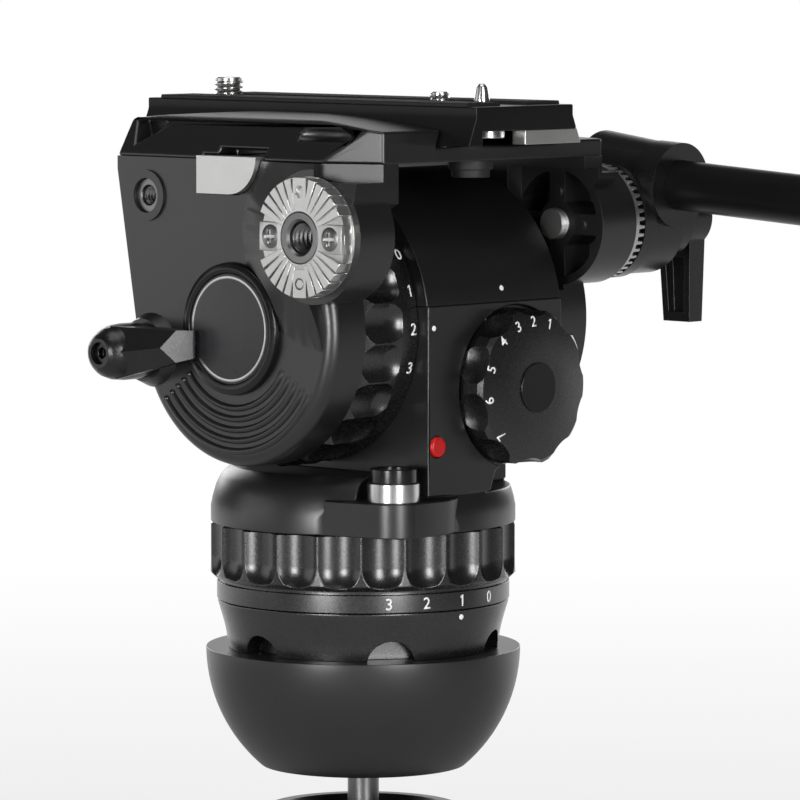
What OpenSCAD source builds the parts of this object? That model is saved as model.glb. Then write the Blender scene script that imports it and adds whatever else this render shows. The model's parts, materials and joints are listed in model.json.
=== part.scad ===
// Fluid video head: half ball base, pan and tilt drag rings, counterbalance knob,
// cheeks with rosettes, sliding camera plate and pan bar. Millimetres.
// X is the operator's right, Y is forward, Z is up; the origin is the half ball centre.

/* [Half ball and neck] */
// radius of the half ball that sits in a levelling bowl
ball_r = 50; // [47:0.5:60]
// depth of the open foot of the half ball
ball_depth = 38; // [34:0.5:40]
// height of the fixed neck
neck_h = 15.3; // [13:0.1:18]
// finger pockets round the foot of the neck
neck_pockets = 6; // [3:1:8]
// radius of the tie-down stud
stud_r = 5; // [4:0.5:6]
// length of the stud below the half ball centre
stud_len = 100; // [96:1:130]
// radius of the star grip under the bowl
grip_r = 22; // [18:0.5:26]
// height of the star grip
grip_h = 16; // [12:0.5:20]
// height of the cup that presses on the bowl
cup_h = 14; // [12:0.5:16]

/* [Pan section] */
// radius of the scalloped pan drag ring
pan_ring_r = 48.6; // [47.6:0.1:52]
// height of the pan drag ring
pan_ring_h = 24; // [22:0.5:30]
// scallops round each drag ring
scallops = 22; // [12:1:24]
// height of the flange and its shoulder
shoulder_h = 17; // [15:0.5:20]
// radius of the spirit level ring
bubble_r = 8.2; // [7:0.1:8.6]

/* [Tilt section] */
// height of the tilt axis over the half ball centre
tilt_z = 103.8; // [100:0.1:112]
// left side of the centre body
body_left = -20; // [-21:0.1:-19]
// right side of the centre body
body_right = 41; // [40.5:0.1:44]
// radius of the barrel about the tilt axis
barrel_r = 47.7; // [46:0.1:48.5]
// radius of the tilt drag ring
tilt_ring_r = 44; // [42:0.1:46]
// width of the tilt drag ring
tilt_ring_w = 22.4; // [20:0.1:26]
// radius of the tilt axle
axle_r = 12; // [9:0.5:13]
// radius of the counterbalance knob
knob_r = 24.6; // [20:0.1:25]
// thickness of the counterbalance knob
knob_t = 12; // [10:0.1:13]

/* [Cheeks and rosettes] */
// radius of the cheek round the tilt axis
cheek_r = 43; // [40:0.5:44]
// thickness of the cheeks
cheek_t = 14.5; // [13:0.1:18]
// distance of the rosettes behind the tilt axis
rosette_back = 39.35; // [36:0.05:42]
// height of the rosettes over the tilt axis
rosette_up = 30.1; // [29:0.1:31]
// radius of the rosettes
rosette_r = 18.4; // [16:0.1:19.5]
// thickness of the rosettes
rosette_t = 5.5; // [4:0.1:7]
// teeth on the open rosette
rosette_teeth = 36; // [24:2:48]
// radius of the blank badge
badge_r = 17.1; // [12:0.1:18]

/* [Platform and plate] */
// height of the platform underside over the tilt axis
platform_up = 52.2; // [51.5:0.1:56]
// front edge of the platform
platform_front = 52; // [48:0.5:56]
// rear edge of the platform
platform_rear = 57; // [56:0.5:60]
// length of the camera plate
plate_len = 145; // [125:1:160]
// width of the camera plate on top
plate_w = 44; // [40:0.5:50]
// height of the camera plate
plate_h = 12; // [11:0.1:14]
// front overhang of the plate from the tilt axis
plate_front = 75.3; // [68:0.1:80]
// radius of the large camera screw thread
large_r = 4.7625; // [4:0.0125:5]
// radius of the small camera screw thread
small_r = 3.175; // [3:0.025:3.5]

/* [Pan bar] */
// radius of the pan bar
bar_r = 8; // [7:0.5:8]
// length of the pan bar behind the rosette axis
bar_len = 360; // [280:5:420]
// slope of the pan bar toward its grip
bar_slope = 3.5; // [0:0.5:10]
// radius of the rubber grip
hand_r = 13; // [11:0.5:15]
// length of the rubber grip
hand_len = 120; // [90:1:140]

/* [Clearances] */
// radial gap of a turning fit
run_gap = 0.05; // [0.03:0.01:0.08]
// gap between faces that pass each other
side_gap = 0.3; // [0.2:0.05:0.4]

/* [Hidden] */
$fn = 96;
ring_z0 = neck_h + side_gap;
ring_z1 = ring_z0 + pan_ring_h;
band_top = ring_z0 + 5.6;
neck_r = pan_ring_r - 5.6;
hub_r = pan_ring_r - 8.6;
hub_in = hub_r - 9;
screw_c = hub_in - 7;
flange_r = pan_ring_r - 0.2;
cup_top = -ball_depth - cup_h;
cup_floor = cup_top - cup_h;
grip_z1 = cup_floor - 10;
flange_z0 = ring_z1 + 0.4;
shoulder_z1 = flange_z0 + shoulder_h;
spindle_r = 13;
bearing_r = 18;
trough_r = barrel_r - 13.7;
part_z = tilt_z + 7.2;
hub_x = body_left - tilt_ring_w - side_gap;
tilt_hub_r = tilt_ring_r - 9;
cheek_in_l = hub_x - side_gap;
cheek_out_l = cheek_in_l - cheek_t;
cheek_in_r = body_right + 0.5;
cheek_out_r = cheek_in_r + cheek_t + 1.5;
platform_z = tilt_z + platform_up;
plate_z0 = platform_z + 5;
plate_z1 = plate_z0 + plate_h;
web_z = plate_z1 - 7.5;
floor_z = plate_z0 - 0.5;
wall_z = plate_z1 - 2.8;
half_w = plate_w / 2;
foot_w = half_w + 3.5;
plate_rear = plate_front - plate_len;
ros_y = -rosette_back;
ros_z = tilt_z + rosette_up;
boss_l = cheek_out_l - 5.1;
ros_l = boss_l - rosette_t;
boss_r = cheek_out_r + 6.5;
ros_right = boss_r + rosette_t;
clamp_x0 = ros_right + side_gap;
bar_x = ros_right + 15.5;
bar_z = ros_z + 12.7;
lever_x = bar_x + 15.2;
knob_x = 19.5;
knob_z = tilt_z - 19.6;
face_z0 = flange_z0 + 12;
rear_y = -barrel_r;
recess_y = rear_y + 2.7;
bub_x = body_left - bubble_r - side_gap;
bub_y = -sqrt(pow(flange_r + 1.5, 2) - bub_x * bub_x);
bub_z = flange_z0 + 10.8;
bub_boss = bubble_r + 1.4;
light_x = -16.2;
light_z = tilt_z - 36.4;
brake_y = 36.5;
brake_z = tilt_z - 8.3;
ins_y = 38.4;
ins_z = platform_z - 12.1;
rel_z = platform_z - 10.5;
pb_y = 14;
pb_z = flange_z0 + 7.5;
pb_x = flange_r + 0.6;
cl_y = 15;
cl_z = platform_z - 10;
jaw_x = foot_w + 0.6;
large_y = plate_front - 14.8;
small_y = plate_rear + 36.2;
pin_y = plate_rear + 18.3;

// cylinder along X, Y or Z between two coordinates
module xcyl(r, x0, x1, y = 0, z = tilt_z)
  translate([x0, y, z]) rotate([0, 90, 0]) cylinder(r = r, h = x1 - x0);
module ycyl(r, y0, y1, x, z)
  translate([x, y0, z]) rotate([-90, 0, 0]) cylinder(r = r, h = y1 - y0);
module zcyl(r, z0, z1, x = 0, y = 0)
  translate([x, y, z0]) cylinder(r = r, h = z1 - z0);
module box(a, b)
  translate(a) cube(b - a);
// outline in Y and Z carried along X
module side(x0, x1)
  translate([x0, 0, 0]) rotate([90, 0, 90]) linear_extrude(height = x1 - x0) children();
// outline in X and Z carried along Y
module front(y0, y1)
  translate([0, y1, 0]) rotate([90, 0, 0]) linear_extrude(height = y1 - y0) children();
// outline of radius and X turned about the tilt axis
module about_tilt()
  translate([0, 0, tilt_z]) rotate([0, 90, 0]) rotate_extrude() children();
// local Z runs down the pan bar from the rosette axis
module along_bar()
  translate([bar_x, ros_y, bar_z]) rotate([90 + bar_slope, 0, 0]) children();

module half_ball() {
  color([0.12, 0.12, 0.13])
  rotate_extrude()
  difference() {
    intersection() {
      circle(r = ball_r);
      translate([stud_r + run_gap, -ball_depth]) square([ball_r, ball_depth]);
    }
    intersection() {
      circle(r = ball_r - 6);
      translate([stud_r + 8, -ball_depth - 1]) square([ball_r, ball_depth - 7]);
    }
  }
}

module base_ring() {
  color([0.11, 0.11, 0.12])
  difference() {
    rotate_extrude()
    polygon([
      [10, 0], [neck_r, 0], [neck_r + 0.5, neck_h * 0.29], [neck_r + 1.2, neck_h * 0.5],
      [neck_r + 2.2, neck_h * 0.73], [neck_r + 3.2, neck_h * 0.95], [neck_r + 3.2, neck_h],
      [hub_r, neck_h], [hub_r, ring_z1 - 1], [hub_in, ring_z1 - 1], [hub_in, 8], [10, 8]
    ]);
    for (i = [0 : neck_pockets - 1])
      rotate([0, 0, 236 + i * 360 / neck_pockets])
      xcyl(7.6, neck_r - 6, neck_r + 9, 0, -1.2);
    for (i = [0 : 3])
      rotate([0, 0, 45 + i * 90]) zcyl(2.6, -1, 9, screw_c);
  }
}

module base_screws() {
  color([0.6, 0.6, 0.62])
  for (i = [0 : 3])
    rotate([0, 0, 45 + i * 90]) {
      zcyl(2.5, 0, 8, screw_c);
      zcyl(4.4, 8, 12, screw_c);
    }
}

module pan_spindle() {
  color([0.62, 0.62, 0.64]) {
    zcyl(18, 8, 13);
    zcyl(spindle_r, 13, shoulder_z1 + 1);
    zcyl(9, shoulder_z1 + 1, shoulder_z1 + 7);
  }
}

module spindle_nut() {
  color([0.5, 0.5, 0.52])
  difference() {
    zcyl(16.5, shoulder_z1 + 1, shoulder_z1 + 6);
    zcyl(9 + run_gap, shoulder_z1, shoulder_z1 + 8);
  }
}

module tie_down_stud() {
  color([0.7, 0.7, 0.72])
  zcyl(stud_r, -stud_len, 0);
}

module tie_down_cup() {
  color([0.12, 0.12, 0.13])
  difference() {
    rotate_extrude()
    polygon([[stud_r + run_gap, cup_floor], [20, cup_floor], [31, cup_top - 4], [31, cup_top],
             [27, cup_top], [19, cup_floor + 6], [stud_r + run_gap, cup_floor + 6]]);
  }
}

module tie_down_knob() {
  color([0.1, 0.1, 0.11])
  difference() {
    union() {
      zcyl(grip_r, grip_z1 - grip_h, grip_z1);
      zcyl(12, grip_z1, cup_floor - side_gap);
    }
    zcyl(stud_r + run_gap, grip_z1 - grip_h - 1, cup_floor + 1);
    for (i = [0 : 5])
      rotate([0, 0, i * 60]) zcyl(8, grip_z1 - grip_h - 1, grip_z1 + 1, grip_r + 4.5);
  }
}

module pan_drag_ring() {
  color([0.1, 0.1, 0.11])
  difference() {
    rotate_extrude()
    polygon([
      [hub_r + run_gap, ring_z0], [pan_ring_r - 2.1, ring_z0], [pan_ring_r - 2.1, band_top],
      [pan_ring_r - 3, band_top], [pan_ring_r - 3, band_top + 1.2],
      [pan_ring_r - 1.6, band_top + 1.2], [pan_ring_r, band_top + 2.8],
      [pan_ring_r, ring_z1], [hub_r + run_gap, ring_z1]
    ]);
    for (i = [0 : scallops - 1])
      rotate([0, 0, 231.7 + i * 360 / scallops])
      translate([pan_ring_r + 7.65, 0, 0]) {
        zcyl(10.5, band_top + 8.4, ring_z1 + 1);
        translate([0, 0, band_top + 8.4]) sphere(r = 10.5);
      }
  }
}

module pan_body() {
  color([0.1, 0.1, 0.11])
  difference() {
    union() {
      rotate_extrude()
      polygon([
        [0, flange_z0], [flange_r, flange_z0], [flange_r, flange_z0 + 5],
        [flange_r - 0.6, flange_z0 + 8], [flange_r - 1.7, flange_z0 + 11.7],
        [flange_r - 3, flange_z0 + 14.4], [flange_r - 4.6, flange_z0 + 16.4],
        [flange_r - 7, shoulder_z1 + 1], [0, shoulder_z1 + 1]
      ]);
      box([body_left, rear_y, face_z0], [body_right, barrel_r, part_z]);
      // block under the spirit level
      translate([0, 0, flange_z0]) linear_extrude(height = bub_z - flange_z0)
      polygon([[-flange_r * 0.868, -flange_r * 0.496],
               [bub_x - bub_boss * 0.967, bub_y - bub_boss * 0.211], [bub_x, bub_y - bub_boss + 0.1],
               [bub_x + 14, bub_y - bub_boss + 0.1], [-5, -flange_r * 0.96], [-10, -20]]);
      zcyl(bub_boss, flange_z0, bub_z, bub_x, bub_y);
      xcyl(6, 40, pb_x, pb_y, pb_z);
      xcyl(tilt_hub_r, hub_x, body_left);
    }
    zcyl(bearing_r + run_gap, flange_z0 - 1, shoulder_z1 + 9);
    xcyl(trough_r, body_left + 6, body_right - 6);
    xcyl(axle_r + 5 + run_gap, body_left - 1, body_right + 1);
    xcyl(tilt_hub_r - 6, hub_x - 1, body_left);
    ycyl(knob_r + 1, rear_y - 1, recess_y, knob_x, knob_z);
    ycyl(4 + run_gap, rear_y - 1, -10, knob_x, knob_z);
    ycyl(3.3, rear_y - 1, rear_y + 5, light_x, light_z);
    zcyl(bubble_r - 2, bub_z - 5, bub_z + 1, bub_x, bub_y);
    // alcove of the spirit level and clipped lower corners
    zcyl(bubble_r + 2.5, bub_z, shoulder_z1 + 3, bub_x - 2.4, bub_y);
    front(rear_y - 1, -24)
    polygon([[8, face_z0 - 0.5], [10.5, face_z0 + 6], [body_right + 1, knob_z - 6],
             [body_right + 1, face_z0 - 0.5]]);
    side(body_left - 1, body_right + 1)
    polygon([[barrel_r - 16, shoulder_z1 + 1.5], [barrel_r + 1, tilt_z - 30], [barrel_r + 1, face_z0 - 0.5],
             [barrel_r - 6, face_z0 - 0.5]]);
    xcyl(3 + run_gap, pb_x - 12, pb_x + 1, pb_y, pb_z);
  }
}

module barrel_cover() {
  color([0.11, 0.11, 0.12])
  difference() {
    intersection() {
      xcyl(barrel_r, body_left, body_right);
      box([body_left - 1, -60, part_z], [body_right + 1, 60, tilt_z + 60]);
    }
    xcyl(trough_r, body_left + 6, body_right - 6);
    xcyl(axle_r + 5 + run_gap, body_left - 1, body_right + 1);
  }
}

module pan_bearings() {
  color([0.65, 0.65, 0.67])
  difference() {
    union() {
      zcyl(bearing_r, flange_z0, flange_z0 + 7);
      zcyl(bearing_r, shoulder_z1 - 6, shoulder_z1);
      zcyl(bearing_r - 2, flange_z0, shoulder_z1);
    }
    zcyl(spindle_r + run_gap, 0, 100);
  }
}

module pan_drag_cartridge() {
  color([0.35, 0.35, 0.37])
  difference() {
    zcyl(hub_in - 0.6, neck_h, flange_z0);
    zcyl(spindle_r + 0.6, 0, 100);
  }
}

module bubble_holder() {
  color([0.75, 0.75, 0.77])
  difference() {
    union() {
      zcyl(bubble_r, bub_z, bub_z + 6, bub_x, bub_y);
      zcyl(bubble_r - 2 - run_gap, bub_z - 4, bub_z, bub_x, bub_y);
    }
    zcyl(bubble_r - 2.5, bub_z - 2, bub_z + 9, bub_x, bub_y);
  }
}

module bubble_vial() {
  color([0.75, 0.9, 0.45])
  zcyl(bubble_r - 2.6, bub_z - 2, bub_z + 9.8, bub_x, bub_y);
}

module bubble_cap() {
  color([0.06, 0.06, 0.07])
  difference() {
    zcyl(bubble_r - 0.8, bub_z + 6, bub_z + 10.4, bub_x, bub_y);
    zcyl(bubble_r - 2.5, bub_z + 5, bub_z + 11, bub_x, bub_y);
  }
}

module tilt_bearings() {
  color([0.65, 0.65, 0.67])
  for (x = [body_left, body_right - 6])
    difference() {
      xcyl(axle_r + 5, x, x + 6);
      xcyl(axle_r + run_gap, x - 1, x + 7);
    }
}

module tilt_drag_cartridge() {
  color([0.35, 0.35, 0.37])
  difference() {
    xcyl(tilt_hub_r - 6.1, hub_x, body_left);
    xcyl(axle_r + 0.6, hub_x - 1, body_left + 1);
  }
}

module spring_pack() {
  color([0.45, 0.45, 0.48])
  difference() {
    union() {
      xcyl(axle_r + 8, body_left + 6, body_left + 28);
      for (i = [0 : 3])
        xcyl(trough_r - 4, body_left + 7 + i * 5.5, body_left + 10 + i * 5.5);
    }
    xcyl(axle_r + 0.6, body_left, body_left + 30);
  }
}

module battery_cover() {
  color([0.08, 0.08, 0.09])
  box([-8, barrel_r, tilt_z - 27], [28, barrel_r + 1.4, tilt_z - 6]);
}

module tilt_drag_ring() {
  color([0.1, 0.1, 0.11])
  difference() {
    about_tilt()
    polygon([
      [tilt_hub_r + run_gap, hub_x], [tilt_ring_r - 3, hub_x], [tilt_ring_r, hub_x + 3],
      [tilt_ring_r, body_left - 7.3],
      [tilt_ring_r - 0.6, body_left - 6.9], [tilt_ring_r - 0.6, body_left - side_gap],
      [tilt_hub_r + run_gap, body_left - side_gap]
    ]);
    for (i = [0 : scallops - 1])
      translate([0, 0, tilt_z]) rotate([86.6 + i * 360 / scallops, 0, 0])
      translate([body_left - 13, 0, tilt_ring_r + 6.25]) {
        rotate([0, -90, 0]) cylinder(r = 9, h = 40);
        sphere(r = 9);
      }
  }
}

module counterbalance_knob() {
  color([0.1, 0.1, 0.11])
  difference() {
    translate([knob_x, recess_y - side_gap, knob_z]) rotate([90, 0, 0])
    rotate_extrude()
    polygon([[4 + run_gap, 0], [knob_r, 0], [knob_r, knob_t - 3], [knob_r - 1.4, knob_t - 1.8],
             [10, knob_t], [4 + run_gap, knob_t]]);
    for (i = [0 : 9])
      translate([knob_x, recess_y - 7.3, knob_z]) rotate([0, 20 + i * 36, 0])
      translate([knob_r + 9.6, 0, 0]) {
        rotate([90, 0, 0]) cylinder(r = 12, h = 20);
        sphere(r = 12);
      }
  }
}

module counterbalance_cap() {
  color([0.09, 0.09, 0.1])
  ycyl(7.9, recess_y - side_gap - knob_t - 0.6, recess_y - side_gap - knob_t, knob_x, knob_z);
}

module counterbalance_shaft() {
  color([0.6, 0.6, 0.62]) {
    ycyl(4, recess_y - side_gap - knob_t, -17, knob_x, knob_z);
    ycyl(5.6, -17, -12, knob_x, knob_z);
  }
}

module light_button() {
  color([0.75, 0.06, 0.05])
  ycyl(3.25, rear_y - 1.2, rear_y + 2.5, light_x, light_z);
}

module pan_brake_lever() {
  color([0.09, 0.09, 0.1])
  difference() {
    union() {
      xcyl(6, pb_x + side_gap, pb_x + 13, pb_y, pb_z);
      box([pb_x + 4, pb_y, pb_z - 4], [pb_x + 11, pb_y + 28, pb_z + 3]);
    }
    xcyl(3 + run_gap, pb_x - 1, pb_x + 15, pb_y, pb_z);
  }
}

module pan_brake_screw() {
  color([0.6, 0.6, 0.62]) {
    xcyl(3, pb_x - 10, pb_x + 13, pb_y, pb_z);
    xcyl(4.6, pb_x + 13, pb_x + 16, pb_y, pb_z);
  }
}

module platform() {
  color([0.11, 0.11, 0.12])
  difference() {
    front(-platform_rear, platform_front)
    polygon([
      [cheek_out_l, platform_z], [cheek_out_l + 0.6, platform_z + 1.5],
      [cheek_out_l + 6.2, wall_z - 3.2], [cheek_out_l + 8.6, wall_z - 1.4],
      [-half_w - 0.7, wall_z], [-foot_w - 0.7, floor_z], [foot_w + 0.7, floor_z],
      [half_w + 0.7, wall_z], [cheek_out_r - 8.6, wall_z - 1.4],
      [cheek_out_r - 6.2, wall_z - 3.2], [cheek_out_r - 0.6, platform_z + 1.5],
      [cheek_out_r, platform_z]
    ]);
    // the walls are slightly arched
    difference() {
      box([cheek_out_l - 1, -platform_rear - 1, wall_z - 8], [cheek_out_r + 1, platform_front + 1, wall_z + 3]);
      xcyl(445, cheek_out_l - 2, cheek_out_r + 2, 5, wall_z - 445);
    }
    // clipped rear corners
    translate([cheek_out_l, -38, platform_z - 1]) rotate([0, 0, 22.5])
    translate([-30, -40, 0]) cube([30, 40, 30]);
    translate([cheek_out_r, -38, platform_z - 1]) rotate([0, 0, -22.5])
    translate([0, -40, 0]) cube([30, 40, 30]);
    // the right wall is low at the rear
    side(half_w, cheek_out_r + 1)
    polygon([[-platform_rear - 1, floor_z + 0.8], [-43, floor_z + 0.8], [-24, wall_z + 1],
             [-platform_rear - 1, wall_z + 1]]);
    // notch over the release button
    box([cheek_out_l - 1, -13, platform_z - 1], [cheek_out_l + 9, 7.4, platform_z + 3.6]);
    box([cheek_out_l - 1, 7, platform_z - 1], [cheek_out_l + 9, 14, platform_z + 1.6]);
    // pocket and slot of the clamp jaw
    box([half_w, -21, floor_z], [jaw_x + 9, 21, floor_z + 6.4]);
    // three-sided scoop near the front and a long thumb scoop near the rear
    intersection() {
      side(cheek_out_l - 1, cheek_out_l + 14)
      polygon([[49.3, wall_z - 2.8], [32, wall_z - 2.8], [46, wall_z - 10.6]]);
      linear_extrude(height = 300)
      polygon([[cheek_out_l - 2, 60], [cheek_out_l + 11.5, 50], [cheek_out_l + 5.2, 31],
               [cheek_out_l - 2, 31]]);
    }
    translate([cheek_out_l - 11.8, -35.5, wall_z - 5.6])
    rotate_extrude() {
      translate([0, -2.2]) square([17.8, 4.4]);
      translate([17.8, 0]) circle(r = 2.2);
    }
    zcyl(2.6, platform_z - 1, floor_z + 1, -2.5, -49);
  }
}

// upper part of a cheek from the tilt axis to the platform
module cheek_outline(rear_h)
  polygon([
    [0, tilt_z], [cheek_r * 0.985, tilt_z - cheek_r * 0.171], [platform_front, platform_z - 4],
    [platform_front, platform_z], [-platform_rear, platform_z], [-platform_rear, platform_z - rear_h],
    [ros_y, ros_z]
  ]);

// outline of the release button, or of its pocket when grown
module button_outline(g)
  intersection() {
    translate([-12.5 - g, rel_z - g]) square([26.1 + 2 * g, 11.7 + 2 * g]);
    union() {
      translate([-0.5, rel_z - g - 1]) square([20, 16]);
      translate([-0.5, rel_z + 12.05]) circle(r = 12 + g);
    }
  }

module left_cheek() {
  color([0.1, 0.1, 0.11])
  difference() {
    union() {
      about_tilt() {
        translate([0, cheek_out_l + 4]) square([cheek_r, cheek_t - 4]);
        translate([0, cheek_out_l]) square([cheek_r - 4, cheek_t]);
        translate([cheek_r - 4, cheek_out_l + 4]) circle(r = 4);
      }
      side(cheek_out_l, cheek_in_l) cheek_outline(11.9);
      xcyl(20.6, boss_l, cheek_in_l - 4.6, ros_y, ros_z);
      // the outer face rises toward the rosette
      intersection() {
        translate([boss_l, ros_y, ros_z]) rotate([0, 90, 0])
        cylinder(r1 = 20.4, r2 = 37, h = cheek_out_l - boss_l + 0.5);
        side(boss_l - 1, cheek_in_l) {
          cheek_outline(11.9);
          translate([0, tilt_z]) circle(r = cheek_r - 4);
        }
      }
      xcyl(9.3, cheek_out_l - 4.2, cheek_in_l - 5, brake_y, brake_z);
      translate([cheek_out_l - 4.2, brake_y, brake_z]) rotate([0, 90, 0])
      cylinder(r1 = 9.8, r2 = 11.9, h = 5);
      xcyl(8, cheek_out_l - 0.8, cheek_in_l, ins_y, ins_z);
    }
    translate([cheek_out_l, -38, platform_z - 5.5]) rotate([0, 0, 22.5])
    translate([-30, -40, 0]) cube([30, 40, 30]);
    side(cheek_out_l - 6, cheek_out_l + 9) button_outline(0.35);
    xcyl(badge_r + 3.9, boss_l - 1, cheek_out_l);
    xcyl(5.45, cheek_out_l - 2, cheek_out_l + 11, ins_y, ins_z);
    xcyl(2.5 + run_gap, cheek_out_l - 5, cheek_out_l + 8, brake_y, brake_z);
    xcyl(5, boss_l - 1, boss_l + 13, ros_y, ros_z);
    for (y = [-12.6, 12.6])
      xcyl(1.6, boss_l - 1, boss_l + 9, ros_y + y, ros_z);
  }
}

module right_cheek() {
  color([0.1, 0.1, 0.11]) {
    difference() {
      union() {
        xcyl(cheek_r + 0.5, cheek_in_r, cheek_out_r);
        side(cheek_in_r, cheek_out_r) cheek_outline(7);
        xcyl(19.6, cheek_in_r + 6.5, boss_r, ros_y, ros_z);
      }
      // the inner side is cut back and hollowed behind the rosette
      box([cheek_in_r - 1, -70, tilt_z + 9], [cheek_in_r + 6.5, -24, platform_z - 4]);
      difference() {
        xcyl(17, cheek_in_r + 5, boss_r - 4, ros_y, ros_z);
        xcyl(7.6, cheek_in_r + 4, boss_r, ros_y, ros_z);
        for (a = [0, 90, 180, 270])
          translate([cheek_in_r, ros_y, ros_z]) rotate([a, 0, 0]) box([0, 0, -3.3], [40, 30, 3.3]);
      }
      translate([cheek_out_r, -38, platform_z - 5.5]) rotate([0, 0, -22.5])
      translate([0, -40, 0]) cube([30, 40, 30]);
      xcyl(5 + run_gap, cheek_in_r, boss_r + 1, ros_y, ros_z);
      xcyl(3 + run_gap, cheek_out_r - 10, cheek_out_r + 1, cl_y, cl_z);
    }
    // two small bosses on the webs
    xcyl(2.1, cheek_in_r + 5.8, cheek_in_r + 8, ros_y, ros_z + 10.2);
    xcyl(2.1, cheek_in_r + 5.8, cheek_in_r + 8, ros_y - 10.2, ros_z);
  }
}

module tilt_axle() {
  color([0.62, 0.62, 0.64])
  xcyl(axle_r, cheek_in_l, cheek_in_r);
}

module badge_bezel() {
  color([0.08, 0.08, 0.09])
  about_tilt()
  polygon([
    [badge_r + 0.2, cheek_out_l], [badge_r + 3.7, cheek_out_l], [badge_r + 3.3, cheek_out_l - 2],
    [badge_r + 1.6, cheek_out_l - 2.6], [badge_r + 0.2, cheek_out_l - 2.2]
  ]);
}

module badge_disc() {
  color([0.13, 0.13, 0.14])
  xcyl(badge_r, cheek_out_l - 1.9, cheek_out_l);
}

module right_cover() {
  color([0.08, 0.08, 0.09])
  xcyl(badge_r + 3.5, cheek_out_r, cheek_out_r + 2);
}

module left_rosette() {
  color([0.78, 0.78, 0.8])
  difference() {
    xcyl(rosette_r, ros_l, boss_l, ros_y, ros_z);
    xcyl(5, ros_l - 1, boss_l + 1, ros_y, ros_z);
    difference() {
      for (i = [0 : rosette_teeth - 1])
        translate([ros_l, ros_y, ros_z]) rotate([i * 360 / rosette_teeth, 0, 0])
        translate([0, 0, 8]) rotate([0, 0, 45]) cylinder(r = 0.9, h = 20, $fn = 4);
      for (y = [-15.5, 9.5])
        box([ros_l - 2, ros_y + y, ros_z - 4.6], [boss_l, ros_y + y + 6, ros_z + 4.6]);
    }
    for (y = [-12.6, 12.6]) {
      xcyl(1.6, ros_l, boss_l + 1, ros_y + y, ros_z);
      xcyl(3.1, ros_l - 1, ros_l + 2.6, ros_y + y, ros_z);
    }
    xcyl(1.5, ros_l - 1, ros_l + 3, ros_y, ros_z + 14);
  }
}

module left_rosette_screws() {
  color([0.72, 0.72, 0.74])
  for (y = [-12.6, 12.6]) {
    xcyl(3, ros_l + 0.2, ros_l + 2.6, ros_y + y, ros_z);
    xcyl(1.5, ros_l + 2.6, boss_l + 8, ros_y + y, ros_z);
  }
}

module right_rosette() {
  color([0.78, 0.78, 0.8])
  difference() {
    xcyl(rosette_r, boss_r, ros_right, ros_y, ros_z);
    xcyl(5 + run_gap, boss_r - 1, ros_right + 1, ros_y, ros_z);
  }
}

module accessory_insert() {
  color([0.7, 0.7, 0.72])
  difference() {
    xcyl(5.4, cheek_out_l + 0.6, cheek_out_l + 11, ins_y, ins_z);
    xcyl(3.175, cheek_out_l - 1, cheek_out_l + 12, ins_y, ins_z);
  }
}

module platform_bumper() {
  color([0.08, 0.08, 0.09]) {
    zcyl(7, platform_z - 3, platform_z, -2.5, -49);
    zcyl(6, platform_z - 5.5, platform_z - 3, -2.5, -49);
    zcyl(2.5, platform_z, floor_z, -2.5, -49);
  }
}

module tilt_brake_lever() {
  color([0.09, 0.09, 0.1])
  difference() {
    intersection() {
      union() {
        translate([cheek_out_l, brake_y, brake_z]) rotate([0, -90, 0])
        rotate_extrude()
        polygon([[0, 4.2 + side_gap], [8.4, 4.2 + side_gap], [8.9, 8], [8.9, 13], [8.5, 17],
                 [7.5, 20], [6, 22], [4.6, 23], [0, 23]]);
        // tapered tail toward the rear, with a ridge along its outer side
        translate([cheek_out_l - 13.4, brake_y, brake_z]) rotate([83, 0, 16])
        cylinder(r1 = 9.6, r2 = 4.2, h = 30, $fn = 6);
      }
      // slanted end facet, clear of the cheek
      linear_extrude(height = 300)
      polygon([[cheek_out_l - 30, 60], [cheek_out_l - 30, 26.5], [cheek_out_l - 5.6, 12.4],
               [cheek_out_l - 4.4, 12.4], [cheek_out_l - 4.4, 60]]);
    }
    xcyl(2.5 + run_gap, cheek_out_l - 30, cheek_out_l, brake_y, brake_z);
    xcyl(3.5, cheek_out_l - 30, cheek_out_l - 18, brake_y, brake_z);
  }
}

module tilt_brake_screw() {
  color([0.2, 0.2, 0.22])
  difference() {
    union() {
      xcyl(2.5, cheek_out_l - 18, cheek_out_l + 7, brake_y, brake_z);
      xcyl(3.3, cheek_out_l - 21.5, cheek_out_l - 18, brake_y, brake_z);
    }
    translate([cheek_out_l - 23, brake_y, brake_z]) rotate([0, 90, 0])
    cylinder(r = 1.9, h = 3.5, $fn = 6);
  }
}

module release_button() {
  color([0.75, 0.75, 0.76])
  side(cheek_out_l - 2.6, cheek_out_l + 5) button_outline(0);
}

module clamp_lever() {
  color([0.09, 0.09, 0.1])
  difference() {
    union() {
      xcyl(7, cheek_out_r + side_gap, cheek_out_r + 11, cl_y, cl_z);
      box([cheek_out_r + 3, cl_y, cl_z - 4], [cheek_out_r + 9, cl_y + 34, cl_z + 4]);
    }
    xcyl(3 + run_gap, cheek_out_r, cheek_out_r + 13, cl_y, cl_z);
  }
}

module clamp_lever_screw() {
  color([0.6, 0.6, 0.62]) {
    xcyl(3, cheek_out_r - 9, cheek_out_r + 11, cl_y, cl_z);
    xcyl(4.8, cheek_out_r + 11, cheek_out_r + 14, cl_y, cl_z);
  }
}

module clamp_jaw() {
  color([0.5, 0.5, 0.52])
  front(-20, 20)
  polygon([
    [jaw_x + 0.1, floor_z + 0.1], [jaw_x + 6, floor_z + 0.1], [jaw_x + 6, floor_z + 6.1],
    [jaw_x - 1.8, floor_z + 6.1]
  ]);
}

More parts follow.
